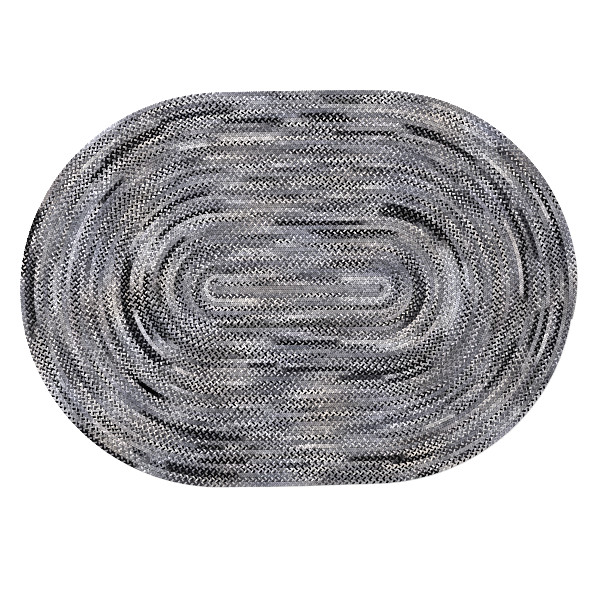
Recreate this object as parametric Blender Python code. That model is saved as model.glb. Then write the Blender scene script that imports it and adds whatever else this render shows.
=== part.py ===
"""Oval braided rug: one flat braid wound in a spiral and laced edge to edge.

Metres, +Z up, +X along the rug. The underside lies on z = 0 and the origin is
the middle of the underside.
"""

import math

import bmesh
import bpy
import numpy as np

# ---- driving sizes, in metres ------------------------------------------------
LENGTH = 2.1336  # over all, a 7 ft rug
WIDTH = 1.5180  # over all, 5 ft
THICK = 0.0095  # crest of a course above the floor
SEAM_DROP = 0.0022  # how far the laced seams lie below the crests
HALF_RUN = 0.3078  # half of the straight middle run
PITCH_OUT = 0.017475  # course to course, away from the middle
PITCH_EASE = 0.0197  # the middle courses are drawn tighter by this in all
EASE_LAPS = 11.0  # over about this many laps
FULL_LAPS = 44  # whole laps before the tail
RIM_ROUND = 0.0032  # the outer edge turns under by this much

# ---- how a lap is divided ----------------------------------------------------
RUN_STEPS = 4  # along each straight run
TURN_STEPS = 20  # round each end
LAP_STEPS = 2 * (RUN_STEPS + TURN_STEPS)
TAIL_STEPS = 15  # the tail ends this far into its lap
LAST = FULL_LAPS * LAP_STEPS + TAIL_STEPS

# How the hand-laced oval departs from a true one at its rim: waves round it.
SHAPE_WAVES = (
    # waves round, cosine part in mm, sine part in mm
    (0, -3.9, 0.0),
    (1, -3.8, -3.6),
    (2, -1.1, 5.8),
    (4, 2.6, -0.4),
)
SHAPE_RADIUS = 0.759  # where the waves have their full height


def course_offset(laps):
    """Distance of the braid's middle line from the rug's middle run."""
    return PITCH_OUT * laps - PITCH_EASE * (1.0 - math.exp(-laps / EASE_LAPS))


def station(step):
    """Where a step falls: run point x, outward direction and laps wound."""
    lap, j = divmod(step, LAP_STEPS)
    r = course_offset(lap + 0.5)
    run, turn = 2.0 * HALF_RUN, math.pi * r
    around = 2.0 * (run + turn)
    a, b = RUN_STEPS, RUN_STEPS + TURN_STEPS
    if j < a:
        s = j / RUN_STEPS
        x, angle, gone = -HALF_RUN + s * run, 90.0, s * run
    elif j < b:
        s = (j - a) / TURN_STEPS
        x, angle, gone = HALF_RUN, 90.0 - 180.0 * s, run + s * turn
    elif j < b + a:
        s = (j - b) / RUN_STEPS
        x, angle, gone = HALF_RUN - s * run, -90.0, run + turn + s * run
    else:
        s = (j - a - b) / TURN_STEPS
        x, angle, gone = -HALF_RUN, -90.0 - 180.0 * s, 2.0 * run + turn + s * turn
    return x, math.radians(angle), lap + gone / around


def shape_waves(around):
    """Departure from the true oval at the rim, in metres."""
    return 0.001 * sum(
        c * math.cos(k * around) + s * math.sin(k * around) for k, c, s in SHAPE_WAVES
    )


def spiral_point(step, courses_out=0.0):
    """A point on the spiral, some courses outside the braid's middle line."""
    x, angle, laps = station(step)
    r = course_offset(laps + courses_out)
    around = math.atan2(r * math.sin(angle), x + r * math.cos(angle))
    r += (r / SHAPE_RADIUS) ** 2 * shape_waves(around)
    return np.array((x + r * math.cos(angle), r * math.sin(angle)))


def outward(step):
    angle = station(step)[1]
    return np.array((math.cos(angle), math.sin(angle)))


# ---- seam and crest points -----------------------------------------------------
# seam[i] is the inner seam of step i, so seam[i + LAP_STEPS] is its outer seam.
seam = {i: spiral_point(i, -0.5) for i in range(LAP_STEPS, LAST + 1)}
for i in range(LAST - LAP_STEPS + 1, LAST):
    seam[i + LAP_STEPS] = spiral_point(i, 0.5)
crest = {i: spiral_point(i) for i in range(LAP_STEPS, LAST)}
rim = list(range(LAST, LAST + LAP_STEPS))
rim_out = {i: outward(i - LAP_STEPS) for i in rim}

edge = np.array([seam[i] for i in rim])
low, high = edge.min(0), edge.max(0)
middle, fit = (low + high) / 2.0, np.array((LENGTH, WIDTH)) / (high - low)


def place(point, z):
    x, y = (point - middle) * fit
    return (float(x), float(y), float(z))


# ---- the solid -------------------------------------------------------------------
bm = bmesh.new()
seam_z, edge_z = THICK - SEAM_DROP, THICK * 0.5
inner = {i: bm.verts.new(place(seam[i], seam_z)) for i in seam if i < LAST}
top = {i: bm.verts.new(place(crest[i], THICK)) for i in crest}
shoulder = {
    i: bm.verts.new(place(seam[i] - rim_out[i] * RIM_ROUND * 0.5, seam_z)) for i in rim
}
widest = {i: bm.verts.new(place(seam[i], edge_z)) for i in rim}
under = {i: bm.verts.new(place(seam[i] - rim_out[i] * RIM_ROUND, 0.0)) for i in rim}
seam_vert = {**inner, **shoulder}

# Both slopes of every course, from the end of the middle strip to the tail.
for k in range(LAP_STEPS, LAST):
    a, b = seam_vert[k], seam_vert[k + 1]
    c, d = seam_vert[k + LAP_STEPS], seam_vert.get(k + 1 + LAP_STEPS)
    if k + 1 < LAST:
        bm.faces.new((a, b, top[k + 1], top[k]))
        bm.faces.new((top[k], top[k + 1], d, c))
    else:  # the tail closes to a point on the course inside it
        bm.faces.new((a, b, top[k]))
        bm.faces.new((top[k], b, c))

# The middle strip: a low ridge from one end of the run to the other.
first = LAP_STEPS
loop = [seam_vert[i] for i in range(first, 2 * first + 1)] + [top[first]]
ridge_y = (spiral_point(2) + spiral_point(first - RUN_STEPS - TURN_STEPS + 2))[1] / 2
left = bm.verts.new(place(np.array((-HALF_RUN, ridge_y)), THICK))
right = bm.verts.new(place(np.array((HALF_RUN, ridge_y)), THICK))
a, b = RUN_STEPS, RUN_STEPS + TURN_STEPS
half = a // 2
for n in range(len(loop)):
    p, q = loop[n], loop[(n + 1) % len(loop)]
    if half <= n < b + half:
        peak = right
    else:
        peak = left
    if n == half:
        bm.faces.new((left, right, p))
    if n == b + half:
        bm.faces.new((right, left, p))
    bm.faces.new((p, peak, q))

# The rim and the flat underside.
for n, i in enumerate(rim):
    j = rim[(n + 1) % len(rim)]
    bm.faces.new((shoulder[i], shoulder[j], widest[j], widest[i]))
    bm.faces.new((widest[i], widest[j], under[j], under[i]))
bm.faces.new([under[i] for i in rim])

bmesh.ops.triangulate(bm, faces=bm.faces[:])
bmesh.ops.recalc_face_normals(bm, faces=bm.faces[:])

for old in list(bpy.data.objects):
    bpy.data.objects.remove(old)
mesh = bpy.data.meshes.new("braided_rug")
bm.to_mesh(mesh)
bm.free()
rug = bpy.data.objects.new("braided_rug", mesh)
bpy.context.scene.collection.objects.link(rug)
mesh.shade_smooth()
mesh.set_sharp_from_angle(angle=math.radians(50))

yarn = bpy.data.materials.new("mixed grey yarn")
yarn.use_nodes = True
shader = yarn.node_tree.nodes["Principled BSDF"]
shader.inputs["Base Color"].default_value = (0.21, 0.205, 0.22, 1.0)
shader.inputs["Roughness"].default_value = 0.92
shader.inputs["Metallic"].default_value = 0.0
mesh.materials.append(yarn)
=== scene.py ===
"""Looks of the oval braided rug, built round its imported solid.

The braid's middle line is the solid's own spiral. Three yarn strands run along
it, each swinging from edge to edge and over and under the other two, and what
shows of a strand on top is a row of lobes, one to each side in every repeat.
Metres, +Z up, +X along the rug.
"""

import math

import bmesh
import bpy
import numpy as np
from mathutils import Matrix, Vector


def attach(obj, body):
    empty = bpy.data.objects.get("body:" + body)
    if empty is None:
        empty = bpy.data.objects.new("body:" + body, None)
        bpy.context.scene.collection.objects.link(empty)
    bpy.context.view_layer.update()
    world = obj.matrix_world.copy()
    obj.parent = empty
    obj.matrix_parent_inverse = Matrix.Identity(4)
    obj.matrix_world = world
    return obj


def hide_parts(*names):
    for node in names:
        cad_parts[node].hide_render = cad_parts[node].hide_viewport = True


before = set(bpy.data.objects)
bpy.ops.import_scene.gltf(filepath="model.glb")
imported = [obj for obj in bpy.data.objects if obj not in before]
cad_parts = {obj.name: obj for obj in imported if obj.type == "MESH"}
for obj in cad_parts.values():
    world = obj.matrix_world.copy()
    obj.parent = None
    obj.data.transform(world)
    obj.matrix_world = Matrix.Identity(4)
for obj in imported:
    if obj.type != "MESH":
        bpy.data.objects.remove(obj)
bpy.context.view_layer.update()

# ---- sizes shared with the solid, in metres ------------------------------------
LENGTH, WIDTH, THICK = 2.1336, 1.5180, 0.0095
HALF_RUN = 0.3078
PITCH_OUT, PITCH_EASE, EASE_LAPS = 0.017475, 0.0197, 11.0
FULL_LAPS, TAIL_STEPS = 44, 15
RUN_STEPS, TURN_STEPS = 4, 20
LAP_STEPS = 2 * (RUN_STEPS + TURN_STEPS)
LAST = FULL_LAPS * LAP_STEPS + TAIL_STEPS
SHAPE_WAVES = (
    # waves round, cosine part in mm, sine part in mm
    (0, -3.9, 0.0),
    (1, -3.8, -3.6),
    (2, -1.1, 5.8),
    (4, 2.6, -0.4),
)
SHAPE_RADIUS = 0.759

# ---- the braid --------------------------------------------------------------------
REPEAT_IN, REPEAT_OUT = 0.0247, 0.0257  # one repeat of a strand, middle and outside
SWING = 0.700  # a strand's swing to each side, as a share of the braid's half width
STRAND_WIDE = 0.400  # half a strand's width, likewise
STRAND_THICK = 0.00235  # half its thickness
RISE = 0.00240  # how far it climbs and dives
MID_Z = THICK / 2
PLATEAU = 1.5  # how flat a lobe's top is
LATE = 0.35  # it climbs and dives late by this many radians
TAIL_LENGTH = 0.24  # the tail tapers over this length

# A lobe is an open patch over the strand's upper side, its ends and edges tucked in.
LOBE_ALONG = (-0.42, 0.42, 1.40, 2.15)  # radians past the middle of the braid
LOBE_ACROSS = (-108.0, -52.0, 0.0, 52.0, 108.0)  # degrees round the strand from its top
TUBE_ALONG, TUBE_ROUND = 10, 8  # sections in a repeat and sides, on the outer course


def course_offset(laps):
    return PITCH_OUT * laps - PITCH_EASE * (1.0 - np.exp(-laps / EASE_LAPS))


def shape_waves(around):
    return 0.001 * sum(
        c * np.cos(k * around) + s * np.sin(k * around) for k, c, s in SHAPE_WAVES
    )


def station(step):
    """Run point x, outward direction and laps wound, for an array of steps."""
    step = np.asarray(step, float)
    lap = np.floor(step / LAP_STEPS)
    j = step - lap * LAP_STEPS
    run, turn = 2.0 * HALF_RUN, np.pi * course_offset(lap + 0.5)
    around = 2.0 * (run + turn)
    a, b = RUN_STEPS, RUN_STEPS + TURN_STEPS
    part = [j < a, j < b, j < a + b]
    s = np.select(part, [j / a, (j - a) / TURN_STEPS, (j - b) / a], (j - a - b) / TURN_STEPS)
    x = np.select(
        part, [-HALF_RUN + s * run, HALF_RUN + 0 * s, HALF_RUN - s * run], -HALF_RUN + 0 * s
    )
    angle = np.select(part, [90.0 + 0 * s, 90.0 - 180.0 * s, -90.0 + 0 * s], -90.0 - 180.0 * s)
    gone = np.select(
        part, [s * run, run + s * turn, run + turn + s * run], 2.0 * run + turn + s * turn
    )
    return x, np.radians(angle), lap + gone / around


def spiral(step, courses_out=0.0):
    """Points some courses outside the braid's middle line, as (n, 2)."""
    x, angle, laps = station(step)
    r = course_offset(laps + courses_out)
    around = np.arctan2(r * np.sin(angle), x + r * np.cos(angle))
    r = r + (r / SHAPE_RADIUS) ** 2 * shape_waves(around)
    return np.stack((x + r * np.cos(angle), r * np.sin(angle)), axis=-1)


_edge = np.concatenate(
    (spiral([LAST], -0.5), spiral(np.arange(LAST - LAP_STEPS + 1, LAST), 0.5))
)
_low, _high = _edge.min(0), _edge.max(0)
MIDDLE, FIT = (_low + _high) / 2.0, np.array((LENGTH, WIDTH)) / (_high - _low)


def place(points):
    return (points - MIDDLE) * FIT


# The middle line, sampled finely: place, outward direction, half width, phase.
steps = np.linspace(0.0, LAST, LAST * 40 + 1)
line = place(spiral(steps))
half = np.linalg.norm(place(spiral(steps, 0.5)) - place(spiral(steps, -0.5)), axis=1) / 2
lead = np.gradient(line, axis=0)
lead /= np.linalg.norm(lead, axis=1)[:, None]
out = np.stack((-lead[:, 1], lead[:, 0]), axis=1)
gone = np.concatenate(([0.0], np.cumsum(np.linalg.norm(np.diff(line, axis=0), axis=1))))
laps = station(steps)[2]


def drift(places, spacing, seed, amount):
    """Smooth random variation along the braid."""
    r = np.random.default_rng(seed)
    knots = np.arange(0.0, gone[-1] + 3 * spacing, spacing)
    return amount * np.interp(places, knots, r.uniform(-1.0, 1.0, len(knots)))


def cloud(places, size, seed):
    """Smooth random variation over the floor plan, spread 1, at places along the braid."""
    r = np.random.default_rng(seed)
    x, y = np.interp(places, gone, line[:, 0]), np.interp(places, gone, line[:, 1])
    total = np.zeros_like(x)
    for _ in range(16):
        heading, wave = r.uniform(0, 2 * np.pi), 2 * np.pi / (size * r.uniform(0.7, 1.6))
        total += np.sin(wave * (x * math.cos(heading) + y * math.sin(heading)) + r.uniform(0, 6.28))
    return total / math.sqrt(8)


repeat = REPEAT_OUT - (REPEAT_OUT - REPEAT_IN) * np.exp(-laps / EASE_LAPS)
repeat *= 1.0 + drift(gone, 0.35, 3, 0.035) + drift(gone, 0.06, 4, 0.02)
phase = np.concatenate(
    ([0.0], np.cumsum(np.diff(gone) * 2 * np.pi / ((repeat[1:] + repeat[:-1]) / 2)))
)

# The tail tapers and is tucked against the course inside it.
left = gone[-1] - gone
taper = np.clip(left / TAIL_LENGTH, 0.0, 1.0)
taper = 0.30 + 0.70 * np.sin(taper * np.pi / 2)
start = np.clip(gone / 0.02, 0.0, 1.0)
scale = taper * (0.55 + 0.45 * start)
line = line - out * (half * (1.0 - taper) * 0.9)[:, None]
line += out * (drift(gone, 0.11, 5, 0.00045))[:, None]
width = half * scale


def strand_points(own, strand, wobble):
    """Middle of a strand where its own phase is own, and the braid's half width."""
    at = own - 2 * np.pi * strand / 3
    x, y = np.interp(at, phase, line[:, 0]), np.interp(at, phase, line[:, 1])
    nx, ny = np.interp(at, phase, out[:, 0]), np.interp(at, phase, out[:, 1])
    w = np.interp(at, phase, width)
    k = np.interp(at, phase, scale)
    v = SWING * w * np.cos(own) * wobble[0]
    climb = np.tanh(PLATEAU * np.sin(2 * own - LATE)) / math.tanh(PLATEAU)
    z = MID_Z - RISE * climb * k + wobble[1] * k
    return np.stack((x + nx * v, y + ny * v, z), axis=-1), w, k


def sections(own, strand, wobble, round_degrees):
    """Rings of points round a strand: (..., sections, around, 3)."""
    d = 0.06
    p, w, k = strand_points(own, strand, wobble)
    t = strand_points(own + d, strand, wobble)[0] - strand_points(own - d, strand, wobble)[0]
    t /= np.linalg.norm(t, axis=-1)[..., None]
    side = np.stack((t[..., 1], -t[..., 0], 0 * t[..., 0]), axis=-1)
    side /= np.linalg.norm(side, axis=-1)[..., None]
    up = np.cross(side, t)
    a = np.radians(round_degrees)
    wide = (STRAND_WIDE * w * wobble[2])[..., None, None]
    tall = (STRAND_THICK * k)[..., None, None]
    ring = (
        p[..., None, :]
        + side[..., None, :] * wide * np.sin(a)[:, None]
        + up[..., None, :] * tall * np.cos(a)[:, None]
    )
    return ring


# ---- yarn colours ---------------------------------------------------------------------
TONES = {
    # name: linear red, green, blue of the fibre
    "black": (0.0006, 0.0005, 0.0008),
    "charcoal": (0.030, 0.028, 0.034),
    "navy": (0.016, 0.017, 0.026),
    "slate": (0.112, 0.112, 0.130),
    "mauve": (0.088, 0.079, 0.092),
    "lavender": (0.235, 0.226, 0.258),
    "mid": (0.205, 0.200, 0.212),
    "light": (0.363, 0.354, 0.367),
    "cream": (0.549, 0.535, 0.540),
    "pink": (0.533, 0.503, 0.520),
}
MIX = (
    # tone, share of the yarn
    ("black", 0.23),
    ("charcoal", 0.07),
    ("slate", 0.12),
    ("lavender", 0.14),
    ("mid", 0.12),
    ("light", 0.18),
    ("cream", 0.12),
    ("pink", 0.06),
)
NEAR = {
    # a streak of one tone is that tone and its neighbours, strand by strand
    "black": ("black", "black", "mid"),
    "charcoal": ("charcoal", "black", "slate"),
    "navy": ("navy", "charcoal", "slate"),
    "slate": ("slate", "lavender", "slate"),
    "mauve": ("mauve", "slate", "charcoal"),
    "lavender": ("lavender", "slate", "light"),
    "mid": ("mid", "lavender", "light"),
    "light": ("light", "mid", "light"),
    "cream": ("cream", "light", "cream"),
    "pink": ("pink", "light", "pink"),
}
DARK = ("black", "charcoal", "navy", "mauve")
PURITY = (0.95, 0.85, 0.7)  # how far a streak takes over its first, second, third strand
SECTION_SHORT, SECTION_LONG = 0.12, 0.24  # length of one tone on a strand
MEAN_LEVEL, EVENNESS = 0.56, 0.08  # the three strands together, as cube roots
GRID = 0.004  # spacing at which a strand's colour is kept

BANDS = (
    # first lap, last lap, from station, to station, tone, strands of that tone
    (0, 0, 0, 48, "mid", 3),
    (0, 0, 4, 24, "charcoal", 2),
    (1, 1, 5, 24, "light", 3),
    (2, 2, 3, 25, "cream", 3),
    (1, 1, 42, 48, "charcoal", 2),
    (2, 2, 27, 48, "cream", 3),
    (3, 3, 27, 48, "light", 2),
    (3, 8, 4, 8, "lavender", 2),
    (4, 4, 8, 48, "black", 1),
    (5, 7, 10, 24, "light", 1),
    (6, 8, 28, 40, "lavender", 2),
    (8, 8, 8, 48, "black", 1),
    (9, 10, 12, 20, "charcoal", 2),
    (10, 11, 34, 44, "light", 2),
    (12, 14, 20, 25, "cream", 2),
    (12, 15, 28, 38, "black", 1),
    (15, 18, 10, 18, "cream", 2),
    (16, 18, 18, 25, "black", 1),
    (17, 19, 4, 8, "black", 2),
    (17, 19, 38, 43, "cream", 2),
    (20, 21, 32, 40, "black", 2),
    (22, 25, 16, 22, "mauve", 1),
)
LIVELY = (
    # first lap, last lap, streaks a metre, most strands in one
    (3, 10, 0.7, 1),
    (11, 21, 1.3, 3),
    (22, 31, 1.1, 1),
    (32, 44, 1.5, 3),
)
STREAK_TONES = (
    # tone, share of the streaks
    ("black", 0.48),
    ("charcoal", 0.06),
    ("slate", 0.06),
    ("lavender", 0.08),
    ("light", 0.12),
    ("cream", 0.14),
    ("pink", 0.06),
)
STREAK_SHORT, STREAK_LONG = 0.09, 0.34  # metres
CLUSTER = 1.6  # how strongly dark streaks gather in some places and pale ones in others
WARM_PATCHES, WARM_STRANDS = 0.38, 0.60  # warm and cool over the plan, along a strand

grid = np.arange(0.0, gone[-1] + GRID, GRID)
names = list(TONES)
palette = np.array([TONES[n] for n in names])


def dyed_strand(seed, beside):
    """Colour along one space-dyed strand, tone after tone with soft changes.

    A tone is mostly followed by one far from it, and is mostly one that evens
    out what the strands beside it have at the same place.
    """
    r = np.random.default_rng(seed)
    tones, share = [n for n, _ in MIX], np.array([p for _, p in MIX])
    share = share / share.sum()
    at, was, places, colours = 0.0, None, [], []
    while at < grid[-1] + 1.0:
        length = r.uniform(SECTION_SHORT, SECTION_LONG)
        here = slice(int(at / GRID), max(int((at + length) / GRID), int(at / GRID) + 1))
        for _ in range(60):
            tone = tones[r.choice(len(tones), p=share)]
            level = np.cbrt(palette[names.index(tone)].mean())
            apart = 1.0 if was is None else min(abs(level - was) / 0.30, 1.0) ** 0.6
            even = 1.0
            if beside and at < grid[-1]:
                mean = (sum(b[here].mean() for b in beside) + level) / (len(beside) + 1)
                even = math.exp(-(((mean - MEAN_LEVEL) / EVENNESS) ** 2))
            if r.random() < apart * even:
                break
        was = level
        soft = min(0.05, length * 0.2)
        c = palette[names.index(tone)] * r.uniform(0.88, 1.12)
        places += [at + soft, at + length - soft]
        colours += [c, c]
        at += length
    colours = np.cbrt(np.array(colours))  # even steps to the eye while it changes
    mixed = [np.interp(grid, places, colours[:, i]) for i in range(3)]
    return np.stack(mixed, axis=1)


strand_colour = []
for k in range(3):
    strand_colour.append(dyed_strand(100 + k, strand_colour))
strand_colour = np.stack(strand_colour)


def metres(lap, at):
    """How far along the braid a station of a lap is."""
    return np.interp(lap * LAP_STEPS + at, steps, gone)


def dye(s0, s1, tone, strands, begin):
    """A streak of one tone on some of the strands, from s0 to s1 metres along."""
    soft = min(0.03, (s1 - s0) * 0.2)
    weight = np.clip((grid - s0) / soft + 0.5, 0, 1) * np.clip((s1 - grid) / soft + 0.5, 0, 1)
    for k in range(3):
        m = (k + begin) % 3
        if k < strands:
            c = np.cbrt(palette[names.index(NEAR[tone][k])])
        elif tone in DARK:
            c = np.maximum(strand_colour[m], MEAN_LEVEL)  # dark flecks on a paler ground
        else:
            break
        strand_colour[m] += PURITY[k] * weight[:, None] * (c - strand_colour[m])


chance = np.random.default_rng(77)
streak_names = [n for n, _ in STREAK_TONES]
streak_dark = np.array([n in DARK for n in streak_names])
streak_share = np.array([p for _, p in STREAK_TONES])
for first, last, per_metre, most in LIVELY:
    at, end = metres(first, 0), metres(last + 1, 0)
    while at < end:
        lean = CLUSTER * float(cloud(np.array([at]), 0.42, 60)[0])
        share = streak_share * np.exp(np.where(streak_dark, lean, -lean))
        tone = streak_names[chance.choice(len(streak_names), p=share / share.sum())]
        length = chance.uniform(STREAK_SHORT, STREAK_LONG)
        strands = most if most < 3 else int(chance.integers(1, 4))
        dye(at, at + length, tone, strands, int(chance.integers(3)))
        at += chance.uniform(0.5, 1.5) / per_metre
for n, (first, last, a, b, tone, strands) in enumerate(BANDS):
    for lap in range(first, last + 1):
        # a band of several courses ends unevenly, a course at a time
        early, late = chance.uniform(-0.7, 0.7, 2) if last > first else (0.0, 0.0)
        dye(metres(lap, a + early), metres(lap, b + late), tone, strands, lap + n)

strand_warmth = np.stack(
    [
        WARM_PATCHES * cloud(grid, 0.32, 50) + drift(grid, 0.18, 40 + k, WARM_STRANDS) - 0.10
        for k in range(3)
    ]
)


def colour_at(places, strand):
    c = [np.interp(places, grid, strand_colour[strand][:, i]) for i in range(3)]
    h = np.interp(places, grid, strand_warmth[strand])
    h = h + 0.5 * (np.mean(c, axis=0) - MEAN_LEVEL)  # paler yarn is a little warmer
    green = 1.004 + np.where(h > 0, 0.004, 0.030) * h  # cool yarn is lavender
    tint = np.stack((1.0 + 0.062 * h, green, 1.0 - 0.068 * h), axis=-1)
    return np.stack(c, axis=-1) ** 3 * tint


# ---- materials ---------------------------------------------------------------------------
def yarn_material(name, depth=1.0):
    """Matt spun yarn: the strand's own colour, fibres along it, a soft bloom."""
    m = bpy.data.materials.new(name)
    m.use_nodes = True
    t = m.node_tree
    n, link = t.nodes, t.links.new
    shader = n["Principled BSDF"]
    shader.inputs["Sheen Weight"].default_value = 0.002
    shader.inputs["Sheen Roughness"].default_value = 0.6
    shader.inputs["Specular IOR Level"].default_value = 0.01
    colour = n.new("ShaderNodeAttribute")
    colour.attribute_name = "yarn_colour"
    where = n.new("ShaderNodeUVMap")
    where.uv_map = "strand"

    def stretched(along, across, detail):
        place_ = n.new("ShaderNodeMapping")
        place_.inputs["Scale"].default_value = (along, across, 1.0)
        link(where.outputs["UV"], place_.inputs["Vector"])
        noise = n.new("ShaderNodeTexNoise")
        noise.noise_dimensions = "2D"
        noise.inputs["Scale"].default_value = 1.0
        noise.inputs["Detail"].default_value = detail
        link(place_.outputs["Vector"], noise.inputs["Vector"])
        return noise

    fibres = stretched(260.0, 2600.0, 2.0)
    plies = stretched(90.0, 620.0, 1.0)
    slubs = stretched(70.0, 40.0, 1.0)

    def ranged(noise, low, high):
        r = n.new("ShaderNodeMapRange")
        r.inputs["From Min"].default_value = 0.28
        r.inputs["From Max"].default_value = 0.72
        r.inputs["To Min"].default_value = low
        r.inputs["To Max"].default_value = high
        link(noise.outputs["Fac"], r.inputs["Value"])
        return r.outputs["Result"]

    def times(a, b):
        x = n.new("ShaderNodeMath")
        x.operation = "MULTIPLY"
        link(a, x.inputs[0])
        link(b, x.inputs[1])
        return x.outputs["Value"]

    shade = times(times(ranged(fibres, 0.72, 1.22), ranged(plies, 0.85, 1.12)), ranged(slubs, 0.85, 1.13))
    tint = n.new("ShaderNodeVectorMath")
    tint.operation = "SCALE"
    link(colour.outputs["Color"], tint.inputs[0])
    link(shade, tint.inputs["Scale"])
    link(tint.outputs["Vector"], shader.inputs["Base Color"])
    link(ranged(plies, 0.82, 0.98), shader.inputs["Roughness"])
    bump = n.new("ShaderNodeBump")
    bump.inputs["Strength"].default_value = 0.55
    bump.inputs["Distance"].default_value = 0.0005
    link(shade, bump.inputs["Height"])
    link(bump.outputs["Normal"], shader.inputs["Normal"])
    return m


def mesh_piece(name, verts, quads, uv_strand, uv_bake, colour, material):
    """A piece from arrays: points, quads, two UV sets per corner, colour per point."""
    verts = verts.copy()
    verts[:, 2] = np.maximum(verts[:, 2], 0.0002)  # pressed flat by the floor
    me = bpy.data.meshes.new(name)
    me.vertices.add(len(verts))
    me.vertices.foreach_set("co", np.ascontiguousarray(verts, np.float32).ravel())
    me.loops.add(quads.size)
    me.loops.foreach_set("vertex_index", np.ascontiguousarray(quads, np.int32).ravel())
    me.polygons.add(len(quads))
    me.polygons.foreach_set("loop_start", np.arange(0, quads.size, 4, dtype=np.int32))
    me.update(calc_edges=True)
    for label, uv in (("OFBake", uv_bake), ("strand", uv_strand)):
        layer = me.uv_layers.new(name=label)
        layer.uv.foreach_set("vector", np.ascontiguousarray(uv, np.float32).ravel())
    me.uv_layers["OFBake"].active = True
    me.uv_layers["OFBake"].active_render = True
    layer = me.color_attributes.new(name="yarn_colour", type="FLOAT_COLOR", domain="POINT")
    rgba = np.ones((len(verts), 4), np.float32)
    rgba[:, :3] = colour
    layer.data.foreach_set("color", rgba.ravel())
    me.shade_smooth()
    me.materials.append(material)
    me.validate()
    ob = bpy.data.objects.new(name, me)
    bpy.context.scene.collection.objects.link(ob)
    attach(ob, "root")
    return ob


def grid_quads(count, rows, cols, wrap=False):
    """Quads of count patches of rows x cols points, facing out."""
    i, j = np.meshgrid(np.arange(rows - 1), np.arange(cols if wrap else cols - 1), indexing="ij")
    i, j = i.ravel(), j.ravel()
    k = (j + 1) % cols
    one = np.stack((i * cols + j, i * cols + k, (i + 1) * cols + k, (i + 1) * cols + j), axis=1)
    return (one[None] + (np.arange(count) * rows * cols)[:, None, None]).reshape(-1, 4)


def cell_uv(count, rows, cols, sides, wrap=False):
    """Each patch in its own cell of a square sheet, per corner."""
    cells = math.ceil(math.sqrt(count))
    i, j = np.meshgrid(np.arange(rows - 1), np.arange(sides), indexing="ij")
    i, j = i.ravel(), j.ravel()
    u = np.stack((i, i, i + 1, i + 1), axis=1) / (rows - 1)
    v = np.stack((j, j + 1, j + 1, j), axis=1) / sides
    pad = 0.09
    u, v = pad + (1 - 2 * pad) * u, pad + (1 - 2 * pad) * v
    c = np.arange(count)
    uu = (u[None] + (c % cells)[:, None, None]) / cells
    vv = (v[None] + (c // cells)[:, None, None]) / cells
    return np.stack((uu, vv), axis=-1).reshape(-1, 2)


def strand_uv(along, around, rows, sides):
    """Metres along and round the strand, per corner; along is (count, rows)."""
    i, j = np.meshgrid(np.arange(rows - 1), np.arange(sides), indexing="ij")
    i, j = i.ravel(), j.ravel()
    u = np.stack((along[:, i], along[:, i], along[:, i + 1], along[:, i + 1]), axis=-1)
    a = np.asarray(around)
    v = np.stack((a[j], a[j + 1], a[j + 1], a[j]), axis=-1)
    return np.stack((u, np.broadcast_to(v[None], u.shape)), axis=-1).reshape(-1, 2)


yarn = yarn_material("spun_yarn")

# ---- lobes -----------------------------------------------------------------------------------
total = phase[-1]
# whole strands start a little before the tail ends, where it is thin beside them
rim_from = np.interp(np.interp(LAST - LAP_STEPS, steps, gone) - TAIL_LENGTH, gone, phase)
strand_round = 0.0175  # about how far it is round a strand
for strand in range(3):
    turn = 2 * np.pi * strand / 3
    # the outer course's tubes start where this strand first passes underneath
    tube_own = math.ceil((rim_from + turn - np.pi / 4) / (2 * np.pi)) * 2 * np.pi + np.pi / 4
    for side_name, begins in (("outer", 1.5 * np.pi), ("inner", 0.5 * np.pi)):
        first = math.ceil((turn + 0.62 - begins) / (2 * np.pi))
        own0 = begins + 2 * np.pi * np.arange(first, first + 8000)
        own0 = own0[own0 < tube_own - 0.5]
        count = len(own0)
        r = np.random.default_rng(1000 + strand * 10 + (side_name == "outer"))
        own = own0[:, None] + np.array(LOBE_ALONG)[None]
        wobble = (
            1.0 + r.normal(0, 0.022, (count, 1)),
            r.normal(0, 0.00018, (count, 1)),
            1.0 + r.normal(0, 0.045, (count, 1)),
        )
        ring = sections(own, strand, wobble, np.array(LOBE_ACROSS))
        rows, cols = len(LOBE_ALONG), len(LOBE_ACROSS)
        s = np.interp(own - turn, phase, gone)
        c = colour_at(s, strand) * np.clip(r.normal(1.0, 0.19, (count, 1, 1)), 0.5, 1.5)
        c = np.broadcast_to(c[:, :, None, :], (count, rows, cols, 3)).reshape(-1, 3)
        along = np.cumsum(
            np.concatenate(
                (s[:, :1] + strand * 0.37, np.linalg.norm(np.diff(ring[:, :, 1], axis=1), axis=-1)),
                axis=1,
            ),
            axis=1,
        )
        around = np.array(LOBE_ACROSS) / 360.0 * strand_round + (side_name == "outer")
        piece = mesh_piece(
            f"strand_{'abc'[strand]}_{side_name}_lobes",
            ring.reshape(-1, 3),
            grid_quads(count, rows, cols),
            strand_uv(along, around, rows, cols - 1),
            cell_uv(count, rows, cols, cols - 1),
            np.clip(c, 0.0, 0.9),
            yarn,
        )

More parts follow.
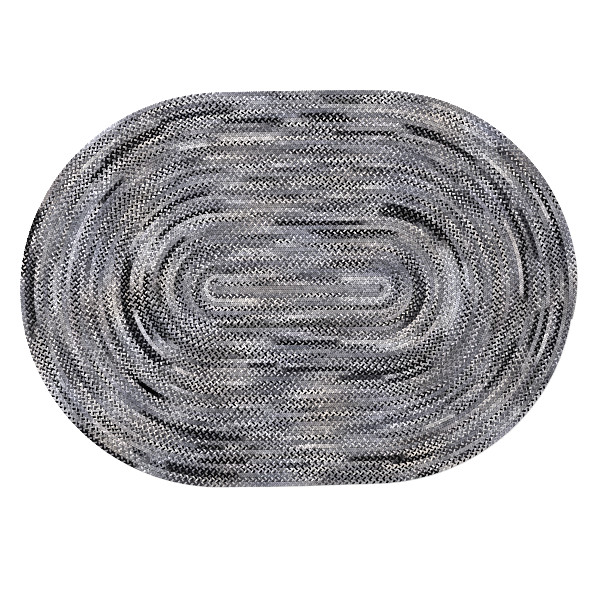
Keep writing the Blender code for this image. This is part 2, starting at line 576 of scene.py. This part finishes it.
# ---- the outer course: whole strands, since their outer side shows ----------------------------
verts, quads, uvs, uvb, cols_ = [], [], [], [], []
base = 0
tube_cells = []
for strand in range(3):
    turn = 2 * np.pi * strand / 3
    tube_own = math.ceil((rim_from + turn - np.pi / 4) / (2 * np.pi)) * 2 * np.pi + np.pi / 4
    repeats = (total + turn - tube_own) / (2 * np.pi)
    n = int(repeats * TUBE_ALONG)
    own = np.linspace(tube_own, total + turn, n + 1)[None]
    r = np.random.default_rng(2000 + strand)
    knots = np.linspace(tube_own, total + turn, n // 5)
    wobble = (
        1.0 + np.interp(own, knots, r.normal(0, 0.02, len(knots))),
        np.interp(own, knots, r.normal(0, 0.00012, len(knots))),
        1.0 + np.interp(own, knots, r.normal(0, 0.04, len(knots))),
    )
    degrees = np.arange(TUBE_ROUND) * 360.0 / TUBE_ROUND
    ring = sections(own, strand, wobble, degrees)[0]
    s = np.interp(own[0] - turn, phase, gone)
    c = np.repeat(colour_at(s, strand)[:, None], TUBE_ROUND, axis=1).reshape(-1, 3)
    q = grid_quads(1, n + 1, TUBE_ROUND, wrap=True)
    along = np.concatenate(([0.0], np.cumsum(np.linalg.norm(np.diff(ring[:, 0], axis=0), axis=-1))))
    around = np.append(degrees, 360.0) / 360.0 * strand_round + strand
    uvs.append(strand_uv(along[None], around, n + 1, TUBE_ROUND))
    tube_cells.append(n)
    verts.append(ring.reshape(-1, 3))
    quads.append(q + base)
    cols_.append(c)
    base += ring.shape[0] * TUBE_ROUND
runs = sum(math.ceil(n / TUBE_ALONG) for n in tube_cells)
cells = math.ceil(math.sqrt(runs))
cell = 0
for n in tube_cells:
    i, j = np.meshgrid(np.arange(n), np.arange(TUBE_ROUND), indexing="ij")
    i, j = i.ravel(), j.ravel()
    own_cell = cell + i // TUBE_ALONG
    a = (i % TUBE_ALONG) / TUBE_ALONG
    u = np.stack((a, a, a + 1 / TUBE_ALONG, a + 1 / TUBE_ALONG), axis=1)
    v = np.stack((j, j + 1, j + 1, j), axis=1) / TUBE_ROUND
    u = (0.05 + 0.9 * u + (own_cell % cells)[:, None]) / cells
    v = (0.05 + 0.9 * v + (own_cell // cells)[:, None]) / cells
    uvb.append(np.stack((u, v), axis=-1).reshape(-1, 2))
    cell += math.ceil(n / TUBE_ALONG)
rim_piece = mesh_piece(
    "rim_course_strands",
    np.concatenate(verts),
    np.concatenate(quads),
    np.concatenate(uvs),
    np.concatenate(uvb),
    np.clip(np.concatenate(cols_), 0.0, 0.9),
    yarn,
)

# ---- the core under the lobes ------------------------------------------------------------------
CORE_TOP, CORE_SEAM, CORE_CREST = 0.0043, 0.0018, 0.0003
TURN_PARTS = 2
one_lap = np.concatenate(
    (
        np.arange(RUN_STEPS),
        RUN_STEPS + np.arange(TURN_STEPS * TURN_PARTS) / TURN_PARTS,
        RUN_STEPS + TURN_STEPS + np.arange(RUN_STEPS),
        2 * RUN_STEPS + TURN_STEPS + np.arange(TURN_STEPS * TURN_PARTS) / TURN_PARTS,
    )
)
J = len(one_lap)
core_steps = (one_lap[None] + LAP_STEPS * np.arange(FULL_LAPS + 1)[:, None]).ravel()
core_steps = core_steps[core_steps <= LAST]
N = len(core_steps) - 1
seam_xy = place(spiral(core_steps[J:], -0.5))
# the braid's own middle line, drawn in along the tail
core_line = line - out * (half * (1.0 - taper) * 0.45)[:, None]
crest_xy = np.stack([np.interp(core_steps[J:], steps, core_line[:, i]) for i in range(2)], axis=1)
K = len(seam_xy)
low_seam = np.column_stack((seam_xy, np.full(K, CORE_SEAM)))
low_crest = np.column_stack((crest_xy, np.full(K, CORE_CREST)))
edge_index = np.concatenate((K + np.arange(K - 1 - J, K), [K - 1]))  # crests, last seam
verts = np.concatenate((low_seam, low_crest))
top_rim = verts[edge_index].copy()
top_rim[:, 2] = CORE_TOP
verts = np.concatenate((verts, top_rim))
faces, course_uv, under = [], [], []  # under: 1 for the underside
g = np.interp(core_steps[J:], steps, gone)
for i in range(K - 1):
    faces.append((i, K + i, K + i + 1, i + 1))
    course_uv += [(g[i], 0.0), (g[i], 0.5), (g[i + 1], 0.5), (g[i + 1], 0.0)]
    under.append(1)
    if i + J + 1 < K:
        faces.append((K + i, i + J, i + J + 1, K + i + 1))
        course_uv += [(g[i], 0.5), (g[i], 1.0), (g[i + 1], 1.0), (g[i + 1], 0.5)]
        under.append(1)
faces.append(tuple([K] + list(range(J, -1, -1))))  # the middle strip
course_uv += [(verts[v][0] + 2.0, 0.25) for v in faces[-1]]
under.append(1)
rim_top = 2 * K + np.arange(len(edge_index))
for i in range(len(edge_index)):
    j = (i + 1) % len(edge_index)
    faces.append((int(edge_index[i]), int(rim_top[i]), int(rim_top[j]), int(edge_index[j])))
faces.append(tuple(int(x) for x in rim_top[::-1]))
course_uv += [(0.0, 0.0)] * (4 * len(edge_index) + len(rim_top))
under += [0] * (len(edge_index) + 1)
me = bpy.data.meshes.new("braid_core")
me.from_pydata(verts.tolist(), [], faces)
layer = me.uv_layers.new(name="course")
layer.uv.foreach_set("vector", np.array(course_uv, np.float32).ravel())
me.validate()
core = bpy.data.objects.new("braid_core", me)
bpy.context.scene.collection.objects.link(core)

bm = bmesh.new()
bm.from_mesh(me)
bmesh.ops.recalc_face_normals(bm, faces=bm.faces[:])
bm.to_mesh(me)
bm.free()


def core_material():
    """Under the lobes and on the core's sides: dark mottled colour, painted shade for the gaps between the
    lobes.
    """
    m = bpy.data.materials.new("core_painted_shade")
    m.use_nodes = True
    t = m.node_tree
    n, link = t.nodes, t.links.new
    shader = n["Principled BSDF"]
    shader.inputs["Roughness"].default_value = 0.95
    where = n.new("ShaderNodeTexCoord")
    noise = n.new("ShaderNodeTexNoise")
    noise.inputs["Scale"].default_value = 90.0
    noise.inputs["Detail"].default_value = 4.0
    link(where.outputs["Object"], noise.inputs["Vector"])
    # painted shade: near black to dark grey, what shows through the gaps between the lobes
    ramp = n.new("ShaderNodeValToRGB")
    ramp.color_ramp.elements[0].position = 0.35
    ramp.color_ramp.elements[0].color = (0.004, 0.0038, 0.005, 1)
    ramp.color_ramp.elements[1].position = 0.68
    ramp.color_ramp.elements[1].color = (0.13, 0.127, 0.14, 1)
    link(noise.outputs["Fac"], ramp.inputs["Fac"])
    link(ramp.outputs["Color"], shader.inputs["Base Color"])
    bump = n.new("ShaderNodeBump")
    bump.inputs["Strength"].default_value = 0.6
    bump.inputs["Distance"].default_value = 0.001
    link(noise.outputs["Fac"], bump.inputs["Height"])
    link(bump.outputs["Normal"], shader.inputs["Normal"])
    return m


def underside_material():
    """The braid's underside: lobes to each side of every course, as colour and bump, with painted shade
    darkening the colour at the lobes' ends and at the seams.
    """
    m = bpy.data.materials.new("underside_yarn")
    m.use_nodes = True
    t = m.node_tree
    n, link = t.nodes, t.links.new
    shader = n["Principled BSDF"]
    shader.inputs["Roughness"].default_value = 0.92
    shader.inputs["Specular IOR Level"].default_value = 0.05

    def calc(kind, a, b=0.0):
        x = n.new("ShaderNodeMath")
        x.operation = kind
        for socket, value in zip(x.inputs, (a, b)):
            if isinstance(value, float):
                socket.default_value = value
            else:
                link(value, socket)
        return x.outputs["Value"]

    where = n.new("ShaderNodeUVMap")
    where.uv_map = "course"
    split = n.new("ShaderNodeSeparateXYZ")
    link(where.outputs["UV"], split.inputs["Vector"])
    along, across = split.outputs["X"], split.outputs["Y"]
    off = calc("ABSOLUTE", calc("SUBTRACT", calc("MULTIPLY", across, 2.0), 1.0))  # 1 at a seam
    side = calc("MULTIPLY", calc("GREATER_THAN", across, 0.5), 0.5)
    place_ = calc("ADD", calc("ADD", calc("DIVIDE", along, REPEAT_OUT / 3), side), calc("MULTIPLY", off, 0.9))
    lobe = calc("FLOOR", place_)
    within = calc("FRACT", place_)
    strand_ = calc("MODULO", lobe, 3.0)
    noise = n.new("ShaderNodeTexNoise")
    noise.noise_dimensions = "1D"
    noise.inputs["Scale"].default_value = 1.0
    noise.inputs["Detail"].default_value = 1.0
    link(calc("ADD", calc("MULTIPLY", lobe, 0.055), calc("MULTIPLY", strand_, 417.3)), noise.inputs["W"])
    ramp = n.new("ShaderNodeValToRGB")
    ramp.color_ramp.elements[0].position = 0.38
    ramp.color_ramp.elements[0].color = (*TONES["black"], 1)
    ramp.color_ramp.elements[1].position = 0.66
    ramp.color_ramp.elements[1].color = (*TONES["cream"], 1)
    for position, tone in ((0.44, "charcoal"), (0.49, "slate"), (0.54, "mid"), (0.60, "light")):
        ramp.color_ramp.elements.new(position).color = (*TONES[tone], 1)
    link(noise.outputs["Fac"], ramp.inputs["Fac"])
    hump = calc("MULTIPLY", calc("MULTIPLY", within, calc("SUBTRACT", 1.0, within)), 4.0)
    height = calc("MULTIPLY", calc("POWER", hump, 0.5), calc("SUBTRACT", 1.0, calc("POWER", off, 5.0)))
    # painted shade: the colour darkens to a quarter where a lobe ends and at the seams between courses
    shade = calc("ADD", calc("MULTIPLY", height, 0.75), 0.25)
    tint = n.new("ShaderNodeVectorMath")
    tint.operation = "SCALE"
    link(ramp.outputs["Color"], tint.inputs[0])
    link(shade, tint.inputs["Scale"])
    link(tint.outputs["Vector"], shader.inputs["Base Color"])
    bump = n.new("ShaderNodeBump")
    bump.inputs["Strength"].default_value = 0.7
    bump.inputs["Distance"].default_value = 0.0015
    link(height, bump.inputs["Height"])
    link(bump.outputs["Normal"], shader.inputs["Normal"])
    return m


me.materials.append(core_material())
me.materials.append(underside_material())
me.polygons.foreach_set("material_index", np.array(under, np.int32))
me.update()
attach(core, "root")
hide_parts("braided_rug")

# ---- floor, light and camera ---------------------------------------------------------------------
me = bpy.data.meshes.new("floor")
me.from_pydata([(-9, -9, 0), (9, -9, 0), (9, 9, 0), (-9, 9, 0)], [], [(0, 1, 2, 3)])
floor = bpy.data.objects.new("floor", me)
bpy.context.scene.collection.objects.link(floor)
pale = bpy.data.materials.new("pale_floor")
pale.use_nodes = True
pale.node_tree.nodes["Principled BSDF"].inputs["Base Color"].default_value = (0.9, 0.9, 0.9, 1)
pale.node_tree.nodes["Principled BSDF"].inputs["Roughness"].default_value = 0.9
me.materials.append(pale)

scene = bpy.context.scene
world = bpy.data.worlds.new("soft_white")
world.use_nodes = True
world.node_tree.nodes["Background"].inputs["Color"].default_value = (1, 1, 1, 1)
world.node_tree.nodes["Background"].inputs["Strength"].default_value = 1.0
scene.world = world

lamp = bpy.data.lights.new("soft_key", "AREA")
lamp.shape = "DISK"
lamp.size = 2.4
lamp.energy = 160.0
key = bpy.data.objects.new("soft_key", lamp)
key.location = (-1.6, 1.8, 3.6)
scene.collection.objects.link(key)
aim = -np.array(key.location)
key.rotation_mode = "QUATERNION"
key.rotation_quaternion = Vector(aim).to_track_quat("-Z", "Y")

FRAME_WIDTH = 2.2942  # what the picture's width covers
lens = bpy.data.cameras.new("camera")
lens.lens = 85.0
lens.sensor_width = 36.0
camera = bpy.data.objects.new("camera", lens)
camera.location = (0.0038, -0.0440, THICK + FRAME_WIDTH * lens.lens / lens.sensor_width)
scene.collection.objects.link(camera)
scene.camera = camera
scene.view_settings.view_transform = "Standard"
scene.cycles.filter_width = 0.6
scene.cycles.use_denoising = False
